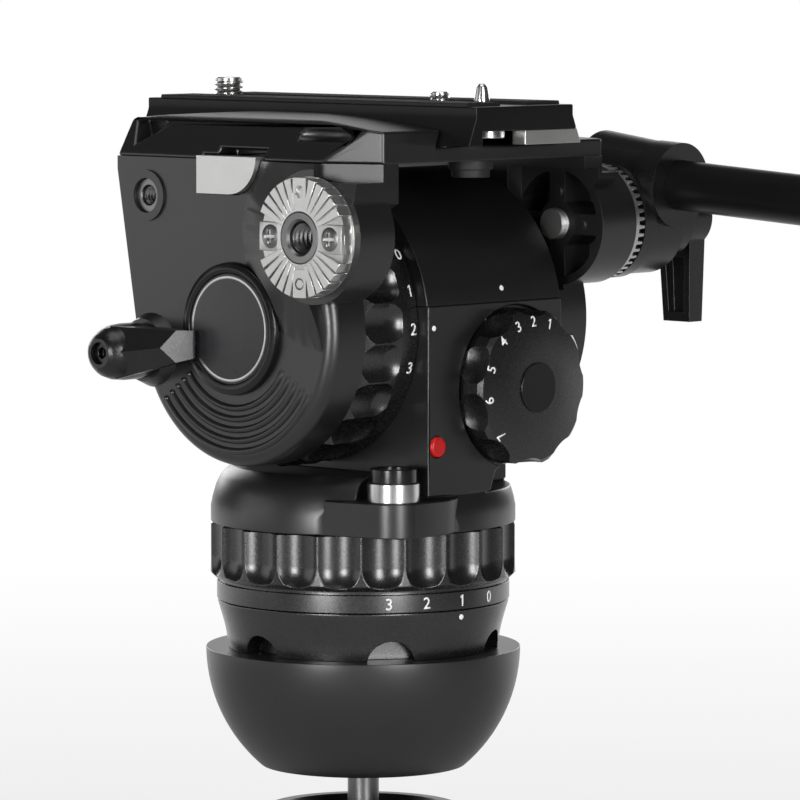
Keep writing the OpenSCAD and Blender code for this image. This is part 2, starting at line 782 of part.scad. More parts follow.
module camera_plate() {
  color([0.1, 0.1, 0.11])
  difference() {
    front(plate_rear, plate_front)
    polygon([
      [-half_w, plate_z1], [half_w, plate_z1], [half_w, plate_z1 - 3.2], [foot_w, plate_z0],
      [foot_w - 6.5, plate_z0], [foot_w - 6.5, web_z], [6.5 - foot_w, web_z],
      [6.5 - foot_w, plate_z0], [-foot_w, plate_z0], [-half_w, plate_z1 - 3.2]
    ]);
    zcyl(large_r - 0.4 + run_gap, web_z - 1, plate_z1 + 1, 0, large_y);
    zcyl(small_r - 0.4 + run_gap, web_z - 1, plate_z1 + 1, 0, small_y);
    zcyl(2.5 + run_gap, web_z - 1, plate_z1 + 1, 0, pin_y);
    box([-1, plate_rear - 1, plate_z0 - 1], [foot_w + 1, plate_rear + 6, web_z]);
  }
}

module plate_pads() {
  color([0.05, 0.05, 0.05])
  for (s = [-1, 1])
    translate([s * (half_w / 2 + 2.5), (plate_front + plate_rear) / 2, plate_z1 + 0.55])
    cube([half_w - 7, plate_len - 10, 1.1], center = true);
}

module plate_stop() {
  color([0.4, 0.4, 0.42])
  front(plate_rear, plate_rear + 5.5)
  polygon([
    [0, plate_z0], [foot_w, plate_z0],
    [foot_w - (foot_w - half_w) * (web_z - plate_z0) / (plate_h - 3.2), web_z], [0, web_z]
  ]);
}

module plate_screw() {
  color([0.75, 0.75, 0.77])
  zcyl(5.8, web_z - 2.4, web_z, -7.2, plate_rear + 9.7);
}

module large_screw() {
  color([0.75, 0.75, 0.77]) {
    zcyl(large_r - 0.4, web_z, plate_z1 + 1.1, 0, large_y);
    zcyl(large_r, plate_z1 + 1.1, plate_z1 + 6.4, 0, large_y);
    zcyl(8.5, plate_z0 + 0.6, web_z, 0, large_y);
  }
}

module small_screw() {
  color([0.75, 0.75, 0.77]) {
    zcyl(small_r - 0.4, web_z, plate_z1 + 1.1, 0, small_y);
    zcyl(small_r, plate_z1 + 1.1, plate_z1 + 3.6, 0, small_y);
    zcyl(7.5, plate_z0 + 0.6, web_z, 0, small_y);
  }
}

module video_pin() {
  color([0.75, 0.75, 0.77])
  translate([0, pin_y, 0])
  rotate_extrude()
  polygon([[0, web_z - 1.2], [3.6, web_z - 1.2], [3.6, web_z], [2.5, web_z], [2.5, plate_z1 + 1.1],
           [1.8, plate_z1 + 5.4], [1, plate_z1 + 6.4], [0, plate_z1 + 6.4]]);
}

module bar_clamp() {
  color([0.09, 0.09, 0.1])
  difference() {
    union() {
      xcyl(rosette_r, clamp_x0, clamp_x0 + 5.2, ros_y, ros_z);
      xcyl(rosette_r - 0.9, clamp_x0 + 5.2, bar_x + 5, ros_y, ros_z);
      xcyl(13, bar_x + 5, lever_x - side_gap, ros_y, ros_z);
      along_bar() {
        translate([0, 0, -13.4]) cylinder(r1 = bar_r + 6.8, r2 = bar_r + 5.2, h = 24);
        translate([0, 0, 10.4]) cylinder(r = bar_r + 5.6, h = 9.4);
      }
    }
    xcyl(5 + run_gap, clamp_x0 - 1, clamp_x0 + 5.5, ros_y, ros_z);
    xcyl(4 + run_gap, clamp_x0, lever_x + 1, ros_y, ros_z);
    along_bar() translate([0, 0, -14]) cylinder(r = bar_r + run_gap, h = 60);
  }
}

module bar_bolt() {
  color([0.72, 0.72, 0.74]) {
    xcyl(5, cheek_in_r + 3.3, clamp_x0 + 5, ros_y, ros_z);
    xcyl(4, clamp_x0 + 5, lever_x + 11, ros_y, ros_z);
  }
}

module bar_lever() {
  color([0.09, 0.09, 0.1])
  difference() {
    union() {
      xcyl(10, lever_x, lever_x + 12, ros_y, ros_z);
      intersection() {
        side(lever_x + 3, lever_x + 13)
        polygon([[ros_y - 7, ros_z], [ros_y + 7, ros_z], [ros_y + 5.6, ros_z - 34.2],
                 [ros_y - 5.6, ros_z - 34.2]]);
        front(ros_y - 10, ros_y + 10)
        polygon([[lever_x + 4, ros_z], [lever_x + 12, ros_z], [lever_x + 12, ros_z - 35],
                 [lever_x + 5.8, ros_z - 35]]);
      }
    }
    xcyl(4 + run_gap, lever_x - 1, lever_x + 13, ros_y, ros_z);
    // the inner side is cored out
    side(lever_x + 3, lever_x + 8.4)
    polygon([[ros_y - 4, ros_z - 13], [ros_y + 4, ros_z - 13], [ros_y + 3.2, ros_z - 31],
             [ros_y - 3.2, ros_z - 31]]);
  }
}

module pan_bar_tube() {
  color([0.1, 0.1, 0.11])
  along_bar()
  difference() {
    translate([0, 0, -13.4]) cylinder(r = bar_r, h = bar_len + 13.4);
    translate([0, 0, -12]) cylinder(r = bar_r - 2, h = bar_len + 13);
  }
}

module bar_grip() {
  color([0.06, 0.06, 0.06])
  along_bar()
  difference() {
    translate([0, 0, bar_len - hand_len]) cylinder(r = hand_r, h = hand_len);
    translate([0, 0, bar_len - hand_len - 1]) cylinder(r = bar_r + run_gap, h = hand_len + 3);
  }
}

module bar_end_cap() {
  color([0.08, 0.08, 0.09])
  along_bar()
  translate([0, 0, bar_len]) cylinder(r = hand_r - 1, h = 4);
}

half_ball();
base_ring();
base_screws();
pan_spindle();
spindle_nut();
tie_down_stud();
tie_down_cup();
tie_down_knob();
pan_drag_ring();
pan_body();
barrel_cover();
pan_bearings();
pan_drag_cartridge();
bubble_holder();
bubble_vial();
bubble_cap();
tilt_bearings();
tilt_drag_cartridge();
spring_pack();
battery_cover();
tilt_drag_ring();
counterbalance_knob();
counterbalance_cap();
counterbalance_shaft();
light_button();
pan_brake_lever();
pan_brake_screw();
platform();
left_cheek();
right_cheek();
tilt_axle();
badge_bezel();
badge_disc();
right_cover();
left_rosette();
left_rosette_screws();
right_rosette();
accessory_insert();
platform_bumper();
tilt_brake_lever();
tilt_brake_screw();
release_button();
clamp_lever();
clamp_lever_screw();
clamp_jaw();
camera_plate();
plate_pads();
plate_stop();
plate_screw();
large_screw();
small_screw();
video_pin();
bar_clamp();
bar_bolt();
bar_lever();
pan_bar_tube();
bar_grip();
bar_end_cap();
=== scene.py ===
import bpy
import bmesh
import json
import math
from mathutils import Matrix, Vector


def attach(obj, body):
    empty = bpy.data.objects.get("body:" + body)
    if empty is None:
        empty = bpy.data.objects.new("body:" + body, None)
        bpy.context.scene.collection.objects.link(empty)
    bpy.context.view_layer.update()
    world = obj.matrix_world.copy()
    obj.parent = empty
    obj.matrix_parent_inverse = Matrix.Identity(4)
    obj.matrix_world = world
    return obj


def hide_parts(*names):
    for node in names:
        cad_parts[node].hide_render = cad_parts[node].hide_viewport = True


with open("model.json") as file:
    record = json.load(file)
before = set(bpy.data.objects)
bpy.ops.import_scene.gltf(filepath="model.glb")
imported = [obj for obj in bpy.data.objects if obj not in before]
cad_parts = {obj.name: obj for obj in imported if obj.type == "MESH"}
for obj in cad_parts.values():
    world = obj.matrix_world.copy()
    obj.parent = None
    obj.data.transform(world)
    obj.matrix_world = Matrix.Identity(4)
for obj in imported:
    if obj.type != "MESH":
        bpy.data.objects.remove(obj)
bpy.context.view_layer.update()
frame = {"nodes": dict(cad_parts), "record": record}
nodes = frame["nodes"]
scene = bpy.context.scene
mm = 0.001
print("frame loaded:", len(nodes), "nodes")


# colours and shader nodes

def linear(hexText):
    # sRGB hex to scene linear
    out = []
    for i in (0, 2, 4):
        c = int(hexText[i:i + 2], 16) / 255
        out.append(c / 12.92 if c <= 0.04045 else ((c + 0.055) / 1.055) ** 2.4)
    return (*out, 1.0)


def addNode(tree, kind, inputs=None, **settings):
    # one shader node with its settings, its constants and its links
    node = tree.nodes.new(kind)
    for key, value in settings.items():
        setattr(node, key, value)
    for key, value in (inputs or {}).items():
        if isinstance(value, bpy.types.NodeSocket):
            tree.links.new(value, node.inputs[key])
        else:
            node.inputs[key].default_value = value
    return node


def newMaterial(name):
    mat = bpy.data.materials.new(name)
    mat.use_nodes = True
    mat.node_tree.nodes.clear()
    return mat, mat.node_tree


# noise keeps mostly between low and high, so the roughness range is spread over that
noise = {"patchMm": 18, "detail": 3.0, "low": 0.3, "high": 0.7}


def grainedMaterial(name, dark, pale, rough, grainMm, bumpMm, stretch=(1, 1, 1), metallic=0.0,
                    specular=0.5):
    # colour drifts over patches, and a finer grain gives bump and roughness
    mat, tree = newMaterial(name)
    where = addNode(tree, "ShaderNodeTexCoord").outputs["Object"]
    scaled = addNode(tree, "ShaderNodeMapping", {"Vector": where, "Scale": stretch})
    patch = addNode(tree, "ShaderNodeTexNoise", {
        "Vector": where, "Scale": 1 / (noise["patchMm"] * mm), "Detail": noise["detail"]})
    grain = addNode(tree, "ShaderNodeTexNoise", {
        "Vector": scaled.outputs["Vector"], "Scale": 1 / (grainMm * mm),
        "Detail": noise["detail"]})
    colour = addNode(tree, "ShaderNodeMix", {
        "Factor": patch.outputs["Fac"], "A": linear(dark), "B": linear(pale)}, data_type="RGBA")
    roughness = addNode(tree, "ShaderNodeMapRange", {
        "Value": grain.outputs["Fac"], "From Min": noise["low"], "From Max": noise["high"],
        "To Min": rough[0], "To Max": rough[1]})
    bump = addNode(tree, "ShaderNodeBump", {
        "Height": grain.outputs["Fac"], "Distance": bumpMm * mm, "Strength": 1.0})
    shader = addNode(tree, "ShaderNodeBsdfPrincipled", {
        "Base Color": colour.outputs["Result"], "Roughness": roughness.outputs["Result"],
        "Normal": bump.outputs["Normal"], "Metallic": metallic, "Specular IOR Level": specular})
    addNode(tree, "ShaderNodeOutputMaterial", {"Surface": shader.outputs["BSDF"]})
    return mat


materials = {
    # powder coat on a casting: near black, fine pebble that breaks up soft highlights
    "cast_black": grainedMaterial(
        "powder_coated_die_cast", "0e0e0f", "131314", rough=(0.3, 0.38), grainMm=0.45,
        bumpMm=0.009, specular=0.85),
    # satin paint over turned metal: smoother than the castings, so its flutes carry clear streaks
    "ring_black": grainedMaterial(
        "satin_painted_turned_aluminium", "0c0c0d", "111112", rough=(0.24, 0.29), grainMm=1.1,
        bumpMm=0.0015, specular=1.0),
    # black anodising: an even dark film with a dry metallic sheen along its edges
    "plate_black": grainedMaterial(
        "black_anodised_extrusion", "0c0c0d", "101011", rough=(0.3, 0.38), grainMm=0.25,
        bumpMm=0.004, specular=0.25),
    # moulded nylon: a little waxy, with a faint orange peel from the mould
    "lever_black": grainedMaterial(
        "moulded_black_nylon", "0c0c0d", "111112", rough=(0.27, 0.33), grainMm=0.9,
        bumpMm=0.005, specular=0.6),
    # polished mould: small bright reflections on a deep black
    "gloss_black": grainedMaterial(
        "gloss_moulded_black", "0d0d0e", "101011", rough=(0.18, 0.24), grainMm=0.8,
        bumpMm=0.003),
    # clear lacquer over dark grey: paler than the casting round it, with a smooth sheen
    "badge": grainedMaterial(
        "lacquered_blank_badge", "232325", "29292b", rough=(0.27, 0.31), grainMm=1.5,
        bumpMm=0.001),
    # fresh machined metal: pale, with a soft sparkle from the tool marks
    "bare_aluminium": grainedMaterial(
        "bare_machined_aluminium", "c9c9c8", "d8d8d6", rough=(0.3, 0.42), grainMm=0.2,
        bumpMm=0.005, metallic=1.0),
    # turned steel: greyer than aluminium, with sharper glints
    "steel": grainedMaterial(
        "machined_steel", "7c7c7d", "8c8c8c", rough=(0.28, 0.38), grainMm=0.2,
        bumpMm=0.005, metallic=1.0),
    # nickel plating: almost a mirror, so it shows the white backdrop and the dark head beside it
    "bright_steel": grainedMaterial(
        "nickel_plated_steel", "c4c4c4", "d0d0cf", rough=(0.2, 0.28), grainMm=0.3,
        bumpMm=0.003, metallic=1.0),
    # moulded rubber: matt black with no clear highlight
    "rubber": grainedMaterial(
        "ribbed_black_rubber", "121212", "171717", rough=(0.55, 0.66), grainMm=0.35,
        bumpMm=0.03),
    # brushed metal: pale and even, with faint lines along the brushing
    "brushed_button": grainedMaterial(
        "brushed_aluminium", "d2d2d0", "dcdcda", rough=(0.34, 0.42), grainMm=0.3,
        bumpMm=0.0015, stretch=(1, 0.06, 1), metallic=1.0),
    # moulded red plastic: a saturated colour with one soft highlight
    "red_button": grainedMaterial(
        "red_moulded_plastic", "a3100f", "b81512", rough=(0.28, 0.36), grainMm=0.5,
        bumpMm=0.006),
    # pad printing ink: flat white that stands out from the black
    "white_paint": grainedMaterial(
        "white_pad_print", "eeeeea", "f6f6f2", rough=(0.4, 0.5), grainMm=0.2, bumpMm=0.004),
}


# clear acrylic with a yellow-green fluid: light passes through, with a slight haze
vial = {"colour": "d8e8a0", "hazeMm": 3, "rough": (0.02, 0.06), "clear": 0.9, "ior": 1.49}
materials["vial"], tree = newMaterial("acrylic_vial_green_fluid")
where = addNode(tree, "ShaderNodeTexCoord").outputs["Object"]
haze = addNode(tree, "ShaderNodeTexNoise", {"Vector": where, "Scale": 1 / (vial["hazeMm"] * mm)})
rough = addNode(tree, "ShaderNodeMapRange", {
    "Value": haze.outputs["Fac"], "To Min": vial["rough"][0], "To Max": vial["rough"][1]})
shader = addNode(tree, "ShaderNodeBsdfPrincipled", {
    "Base Color": linear(vial["colour"]), "Roughness": rough.outputs["Result"],
    "Transmission Weight": vial["clear"], "IOR": vial["ior"]})
addNode(tree, "ShaderNodeOutputMaterial", {"Surface": shader.outputs["BSDF"]})
print("materials:", len(materials))


# CAD nodes: rounded edges and finishes

edgeMm = {"pan_body": 0.45, "left_cheek": 0.7, "right_cheek": 0.7, "platform": 0.95,
          "pan_drag_ring": 0.35, "tilt_drag_ring": 0.4, "counterbalance_knob": 0.5,
          "camera_plate": 0.45, "base_ring": 0.3,
          "tilt_brake_lever": 1.6, "bar_lever": 1.6, "bar_clamp": 1.6, "release_button": 2.0,
          "pan_brake_lever": 1.0, "light_button": 1.1, "clamp_lever": 1.0, "bar_grip": 1.2,
          "bar_end_cap": 1.2, "tie_down_knob": 1.2}
edgeAngle = {"platform": 20}
# the other nodes' edge and angle, and the width past which an edge is rounded in four steps
otherEdge, otherAngle, wideEdge = 0.25, 32, 0.9
# loose triangles are welded, and those of one flat face are joined, before the edges are found
weldGap, flatAngle = 0.002, 0.6
# one short edge would hold the rounding of these nodes near nothing, so they are not clamped
fullEdges = ("platform", "camera_plate", "pan_body")
slotOf = {p["node"]: p["material_slot"] for p in frame["record"]["subparts"]}
finishOf = {"tilt_brake_screw": "gloss_black"}
for name, node in nodes.items():
    weld = node.modifiers.new("weld", "WELD")
    weld.merge_threshold = weldGap * mm
    flat = node.modifiers.new("flat", "DECIMATE")
    flat.decimate_type = "DISSOLVE"
    flat.angle_limit = math.radians(flatAngle)
    bevel = node.modifiers.new("edges", "BEVEL")
    bevel.width = edgeMm.get(name, otherEdge) * mm
    bevel.segments = 4 if bevel.width > wideEdge * mm else 2
    bevel.limit_method = "ANGLE"
    bevel.angle_limit = math.radians(edgeAngle.get(name, otherAngle))
    bevel.use_clamp_overlap = name not in fullEdges
    soft = node.modifiers.new("normals", "WEIGHTED_NORMAL")
    soft.keep_sharp = False
    node.data.materials.clear()
    node.data.materials.append(materials[finishOf.get(name, slotOf[name])])
print("nodes dressed")


# pieces made here

tiltZ = 103.8
rosY, rosZ = -39.35, 133.9
xWay, yWay, zWay = Vector((1, 0, 0)), Vector((0, 1, 0)), Vector((0, 0, 1))
sharpAngle = math.radians(38)


def millimetres(*p):
    return Vector(p) * mm


def merge(bm, dist=0.0004 * mm):
    bmesh.ops.remove_doubles(bm, verts=bm.verts[:], dist=dist)


def addPiece(name, bm, body, slotName, stands=None, smooth=True):
    merge(bm)
    bmesh.ops.recalc_face_normals(bm, faces=bm.faces[:])
    mesh = bpy.data.meshes.new(name)
    bm.to_mesh(mesh)
    bm.free()
    if smooth:
        mesh.shade_smooth()
        mesh.set_sharp_from_angle(angle=sharpAngle)
    piece = bpy.data.objects.new(name, mesh)
    scene.collection.objects.link(piece)
    mesh.materials.append(materials[slotName])
    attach(piece, body)
    if stands:
        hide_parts(*stands)


def join(bm, part):
    # moves a small bmesh into the piece it belongs to
    mesh = bpy.data.meshes.new("part")
    part.to_mesh(mesh)
    part.free()
    bm.from_mesh(mesh)
    bpy.data.meshes.remove(mesh)


def vertsOf(geom):
    return [g for g in geom if isinstance(g, bmesh.types.BMVert)]


def capEnds(part):
    bmesh.ops.holes_fill(part, edges=[e for e in part.edges if e.is_boundary], sides=0)


def roundEdges(part, offset, segments):
    bmesh.ops.bevel(part, geom=part.edges[:], offset=offset, offset_type="OFFSET",
                    segments=segments, profile=0.5, affect="EDGES", material=-1)


def outline(part, profile, centre, along, across, closed):
    # a few vertices in a half plane from (radius, along) pairs
    verts = [part.verts.new(centre + (across * r + along * h) * mm) for r, h in profile]
    pairs = zip(verts, verts[1:] + verts[:1]) if closed else zip(verts, verts[1:])
    return verts + [part.edges.new(pair) for pair in pairs]


def turned(bm, profile, centre, along, across, steps=64, closed=True):
    # spun a full turn: closed profiles make rings, open ones start and end on the axis
    part = bmesh.new()
    geom = outline(part, profile, centre, along, across, closed)
    bmesh.ops.spin(part, geom=geom, cent=centre, axis=along, dvec=(0, 0, 0), angle=2 * math.pi,
                   steps=steps, use_merge=True, use_duplicate=False)
    merge(part)
    join(bm, part)


def threaded(bm, r, pitch, start, end, depth, centre, along, across, wall=0.0, steps=36):
    # one V spun along a screw and trimmed flat, closed for a bolt or given a wall for a hole
    part = bmesh.new()
    turns = math.ceil((end - start) / pitch) + 2
    low = start - pitch
    crest = 0.45 * pitch, 0.55 * pitch
    shape = [(r - depth, low), (r, low + crest[0]), (r, low + crest[1]), (r - depth, low + pitch)]
    geom = outline(part, shape, centre, along, across, False)
    bmesh.ops.spin(part, geom=geom, cent=centre, axis=along, dvec=along * (pitch * mm / steps),
                   angle=2 * math.pi * turns, steps=steps * turns, use_merge=False,
                   use_duplicate=False)
    merge(part)
    for at, way in ((end, along), (start, -along)):
        bmesh.ops.bisect_plane(part, geom=part.verts[:] + part.edges[:] + part.faces[:], dist=1e-7,
                               plane_co=centre + along * (at * mm), plane_no=way,
                               clear_outer=True)
    if wall:
        bmesh.ops.solidify(part, geom=part.faces[:], thickness=wall * mm)
    else:
        capEnds(part)
    join(bm, part)


# camera screws

screws = {
    "largeScrewThread": {"node": "large_screw", "body": "big_screw", "y": 60.5, "r": 4.7625,
                         "pitch": 1.5875, "top": 179.4, "depth": 0.95, "head": 8.5, "lip": 0.45},
    "smallScrewThread": {"node": "small_screw", "body": "little_screw", "y": -33.5, "r": 3.175,
                         "pitch": 1.27, "top": 176.6, "depth": 0.75, "head": 7.5, "lip": 0.35},
}
# what both have in common, with heights from the head's underside to the foot of the thread
stack = {"headLow": 161.6, "lowRim": 162.4, "highRim": 164.9, "headHigh": 165.5,
         "threadFrom": 174.2, "shankTo": 174.25, "lowBevel": 1, "highBevel": 0.6,
         "shankLess": 0.4, "point": 0.9, "chamfer": 0.3}
for name, s in screws.items():
    bm = bmesh.new()
    foot = millimetres(0, s["y"], 0)
    tip, core = s["top"] - stack["point"], s["r"] - s["lip"]
    shank, bite = s["r"] - stack["shankLess"], stack["chamfer"]
    threaded(bm, s["r"], s["pitch"], stack["threadFrom"], tip, s["depth"], foot, zWay, xWay)
    turned(bm, [(0, tip - bite), (core, tip - bite), (core, s["top"] - bite),
                (core - bite, s["top"]), (0, s["top"])], foot, zWay, xWay, steps=48, closed=False)
    turned(bm, [(0, stack["headLow"]), (s["head"] - stack["lowBevel"], stack["headLow"]),
                (s["head"], stack["lowRim"]), (s["head"], stack["highRim"]),
                (s["head"] - stack["highBevel"], stack["headHigh"]), (shank, stack["headHigh"]),
                (shank, stack["shankTo"]), (0, stack["shankTo"])], foot, zWay, xWay, closed=False)
    addPiece(name, bm, s["body"], "bright_steel", stands=[s["node"]])
print("camera screws cut")


# numbers and dots in white print

# share is a digit's height in the font's size, and the 1 is drawn here without a foot
digit = {"share": 0.7, "weight": 0.012, "gap": 0.001, "low": 0.02, "high": 0.09,
         "one": [(-0.02, -0.5), (0.13, -0.5), (0.13, 0.5), (0.01, 0.5), (-0.17, 0.36),
                 (-0.17, 0.21), (-0.02, 0.31)]}


def numeral(text, height):
    # flat number, centred, as a small bmesh in millimetres
    part = bmesh.new()
    if text == "1":
        corners = [part.verts.new((x * height, y * height, 0)) for x, y in digit["one"]]
        part.faces.new(corners)
        return part
    curve = bpy.data.curves.new("number", "FONT")
    curve.body = text
    curve.size = height / digit["share"]
    curve.fill_mode = "FRONT"
    curve.resolution_u = 6
    curve.offset = digit["weight"] * height
    holder = bpy.data.objects.new("number", curve)
    scene.collection.objects.link(holder)
    bpy.context.view_layer.update()
    flat = bpy.data.meshes.new_from_object(holder)
    bpy.data.objects.remove(holder)
    part.from_mesh(flat)
    bpy.data.meshes.remove(flat)
    merge(part, digit["gap"])
    xs, ys = [v.co.x for v in part.verts], [v.co.y for v in part.verts]
    middle = ((min(xs) + max(xs)) / 2, (min(ys) + max(ys)) / 2)
    bmesh.ops.translate(part, verts=part.verts[:], vec=(-middle[0], -middle[1], 0))
    return part


def thicken(part, low, high):
    # a flat shape becomes a slab between two heights
    bmesh.ops.translate(part, verts=part.verts[:], vec=(0, 0, low))
    made = bmesh.ops.extrude_face_region(part, geom=part.faces[:], use_keep_orig=True)["geom"]
    bmesh.ops.translate(part, verts=vertsOf(made), vec=(0, 0, high - low))
    return [f for f in made if isinstance(f, bmesh.types.BMFace)]


def lay(bm, part, place):
    # lays a small shape on the surface that place gives for (across, up, out)
    for v in part.verts:
        v.co = place(*v.co)
    join(bm, part)


def printNumbers(name, body, height, places):
    bm = bmesh.new()
    for text, place in places.items():
        part = numeral(text, height)
        thicken(part, digit["low"], digit["high"])
        lay(bm, part, place)
    addPiece(name, bm, body, "white_paint", smooth=False)


camSide = math.radians(223.87)


def onPanBand(angle, z, r):
    # angle is measured from the camera's side, positive to its right
    def place(x, y, out):
        a = camSide + angle + x / r
        return millimetres((r + out) * math.cos(a), (r + out) * math.sin(a), z + y)
    return place


def onTiltBand(angle, x0, r):
    # angle is above the rear point, and the number's top points toward it
    def place(x, y, out):
        a = angle + y / r
        return millimetres(x0 + x, -(r + out) * math.cos(a), tiltZ + (r + out) * math.sin(a))
    return place


panPrint = {"height": 3.6, "r": 46.5, "z": 18.4,
            "angles": {"3": 10.3, "2": 25.6, "1": 41.9, "0": 58.4}}
printNumbers("panNumbers", "pan_ring", panPrint["height"], {
    text: onPanBand(math.radians(a), panPrint["z"], panPrint["r"])
    for text, a in panPrint["angles"].items()})

tiltPrint = {"height": 3.7, "r": 43.4, "x": -22.2,
             "angles": {"0": 32.2, "1": 16.1, "2": 0.3, "3": -15.9}}
printNumbers("tiltNumbers", "tilt_ring", tiltPrint["height"], {
    text: onTiltBand(math.radians(a), tiltPrint["x"], tiltPrint["r"])
    for text, a in tiltPrint["angles"].items()})

knobPrint = {"height": 3.3, "r": 20.8, "x": 19.5, "z": 84.2, "top": -57.3, "flat": 10,
             "fall": 1.8 / 13.2,
             "angles": {"1": 70.3, "2": 91.4, "3": 110.8, "4": 133.4, "5": 161.0, "6": 188.3,
                        "7": 223.1}}


def onKnobFace(angle):
    # the face falls away from its flat middle like a shallow cone
    def place(x, y, out):
        r, c, s = knobPrint["r"] + y, math.cos(angle), math.sin(angle)
        px, pz = r * c + x * s, r * s - x * c
        drop = (math.hypot(px, pz) - knobPrint["flat"]) * knobPrint["fall"]
        return millimetres(knobPrint["x"] + px, knobPrint["top"] + drop - out,
                           knobPrint["z"] + pz)
    return place


printNumbers("knobNumbers", "balance_knob", knobPrint["height"], {
    text: onKnobFace(math.radians(a)) for text, a in knobPrint["angles"].items()})

dots = {"r": 0.85, "thick": 0.12, "slope": 0.35, "rise": 0.1, "panAngle": 42.0, "panZ": 13.1,
        "panR": 46.05, "bodyX": -17.6, "bodyZ": 104.2, "coverX": 14.5, "barrelR": 47.7,
        "coverZ": 11.4}


def dot(bm, place):
    # a low drop of paint
    part = bmesh.new()
    bmesh.ops.create_circle(part, cap_ends=True, segments=20, radius=dots["r"])
    top = thicken(part, 0.0, dots["thick"])
    bmesh.ops.inset_region(part, faces=top, thickness=dots["slope"] * dots["r"],
                           depth=dots["rise"])
    lay(bm, part, place)


bm = bmesh.new()
dot(bm, onPanBand(math.radians(dots["panAngle"]), dots["panZ"], dots["panR"]))
addPiece("panDot", bm, "base", "white_paint")
bm = bmesh.new()
dot(bm, lambda x, y, out: millimetres(dots["bodyX"] + x, -dots["barrelR"] - out,
                                      dots["bodyZ"] + y))
dot(bm, onTiltBand(math.asin(dots["coverZ"] / dots["barrelR"]), dots["coverX"], dots["barrelR"]))
addPiece("bodyDots", bm, "pan", "white_paint")
print("numbers and dots placed")


# ridges on the left cheek, each with a bead at its front end

ridges = {"radii": [24.6, 28.0, 31.35, 34.7, 38.05], "from": -142.0, "to": -28.0, "half": 1.1,
          "height": 0.85, "x": -57.5, "sunk": 0.3, "fade": 10.0, "least": 0.02, "bead": 1.05}
hub = millimetres(ridges["x"], 0, tiltZ)
a0, a1 = math.radians(ridges["from"]), math.radians(ridges["to"])
across = Vector((0, -math.cos(a0), math.sin(a0)))
bm = bmesh.new()
for r in ridges["radii"]:
    part = bmesh.new()
    section = [(r + t / 4 * ridges["half"], -ridges["height"] * (1 - (t / 4) ** 2))
               for t in range(-4, 5)]
    section += [(r + ridges["half"], ridges["sunk"]), (r - ridges["half"], ridges["sunk"])]
    geom = outline(part, section, hub, xWay, across, True)
    bmesh.ops.spin(part, geom=geom, cent=hub, axis=-xWay, dvec=(0, 0, 0), angle=a1 - a0, steps=96,
                   use_merge=False, use_duplicate=False)
    capEnds(part)
    for v in part.verts:
        # the rear end runs out into the cheek
        left = ridges["to"] - math.degrees(math.atan2(v.co.z - hub.z, -v.co.y))
        share = math.sin(min(1, left / ridges["fade"]) * math.pi / 2)
        if v.co.x < hub.x:
            v.co.x = hub.x + (v.co.x - hub.x) * max(ridges["least"], share)
    bead = bmesh.ops.create_uvsphere(part, u_segments=16, v_segments=10,
                                     radius=ridges["bead"] * mm)["verts"]
    bmesh.ops.translate(part, verts=bead, vec=hub + across * (r * mm))
    join(bm, part)
addPiece("cheekRidges", bm, "tilt", "cast_black")
print("ridges placed")


# rosettes: a turned ring with radial teeth

toothCut = {"lip": 0.1, "land": 1.4, "landDrop": 0.15, "inset": 0.6, "sunk": 0.3, "edge": 0.14}


def rosette(bm, s, outSign, kept):
    centre, out = millimetres(0, rosY, rosZ), xWay * outSign
    back, face = s["back"] * outSign, s["face"] * outSign
    foot, rim = face - s["tall"], s["rOut"] - s["step"]
    # the ring's face slopes down outward, so the gaps deepen
    turned(bm, [(s["rIn"], back), (s["rIn"], face - toothCut["lip"]),
                (s["rIn"] + toothCut["land"], face - toothCut["landDrop"]),
                (rim, face - s["deep"]), (rim, foot), (s["rOut"], foot), (s["rOut"], back)],
           centre, out, yWay, steps=96)
    part = bmesh.new()
    inner, outer = s["rIn"] + toothCut["inset"], s["rOut"]
    half = math.pi / s["teeth"] * s["fill"]
    corners = [(inner, -half), (outer, -half), (outer, half), (inner, half)]
    part.faces.new([part.verts.new((r * math.cos(a), r * math.sin(a), 0)) for r, a in corners])
    for f in thicken(part, foot - toothCut["sunk"], face):
        # a tooth narrows toward its tip
        for v in f.verts:
            v.co.y *= s["taper"]
    roundEdges(part, toothCut["edge"], 1)
    seed = part.verts[:] + part.edges[:] + part.faces[:]
    for i in range(s["teeth"]):
        a = 2 * math.pi * (i + 0.5) / s["teeth"]
        if kept(a):
            made = bmesh.ops.duplicate(part, geom=seed)["geom"]
            bmesh.ops.rotate(part, verts=vertsOf(made), cent=(0, 0, 0),
                             matrix=Matrix.Rotation(a, 3, "Z"))
    bmesh.ops.delete(part, geom=seed, context="VERTS")
    lay(bm, part, lambda x, y, z: millimetres(z * outSign, rosY + x, rosZ + y))


leftRosette = {"back": -62.6, "face": -68.1, "rIn": 8.1, "rOut": 18.4, "teeth": 32, "deep": 1.7,
               "fill": 0.94, "taper": 0.84, "tall": 5.2, "step": 0.7}
# plain blocks at the dowels and flats under the screws, where the teeth near them are left out
spot = {"at": 14.0, "wide": 2.75, "tall": 4.2, "proud": 0.05, "root": 0.3, "hole": 1.9,
        "openDeep": 2.6, "pinnedDeep": 1.2, "clear": 3.0}
flats = {"size": (4.9, 8.8, 9.0), "edge": 0.5, "x": -65.35, "at": 13.2, "clear": 5.2}
toothMiddle = 15


def leftTooth(a):
    high, wide = abs(math.sin(a) * toothMiddle), abs(math.cos(a) * toothMiddle)
    return high >= flats["clear"] and wide >= spot["clear"]


